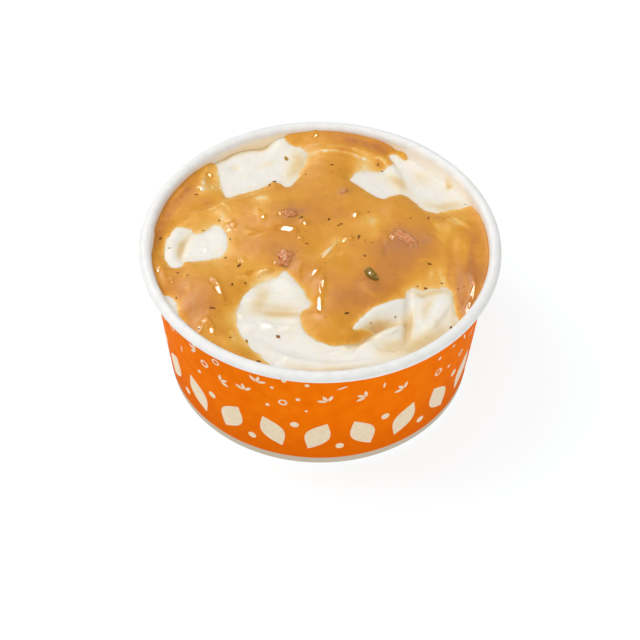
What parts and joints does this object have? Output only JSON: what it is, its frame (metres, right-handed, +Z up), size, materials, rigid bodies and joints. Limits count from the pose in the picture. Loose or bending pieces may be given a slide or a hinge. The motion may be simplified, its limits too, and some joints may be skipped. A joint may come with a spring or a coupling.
{
  "type": "mashed potato side in a paper cup",
  "caption": "Squat round paper cup with a rolled rim, filled with mashed potato under brown gravy with bits of meat and green pepper.",
  "frame": {"origin": "on the surface the cup stands on, under the middle of the cup", "axes": "+Z up along the cup's axis; -Y is the side that faces the viewer, with the green pepper bit in front and to the right"},
  "size_m": [0.09, 0.09, 0.0413],
  "materials": {
    "printed_board": "orange print on satin coated paperboard, with the white board bare on the rolled rim, the inside and a band at the foot",
    "white_board": "satin coated white paperboard",
    "mash": "soft, moist mashed potato",
    "gravy": "glossy, slightly clear brown gravy with pepper flecks",
    "meat": "moist crumbled meat coated in gravy",
    "pepper": "moist cut green pepper"
  },
  "bodies": {
    "root": {"cup_wall": "printed_board", "cup_base": "white_board", "mash": "mash", "gravy": "gravy", "sausage_bit_left": "meat", "sausage_crumb": "meat", "sausage_bit_right": "meat", "green_pepper_bit": "pepper"}
  },
  "joints": []
}
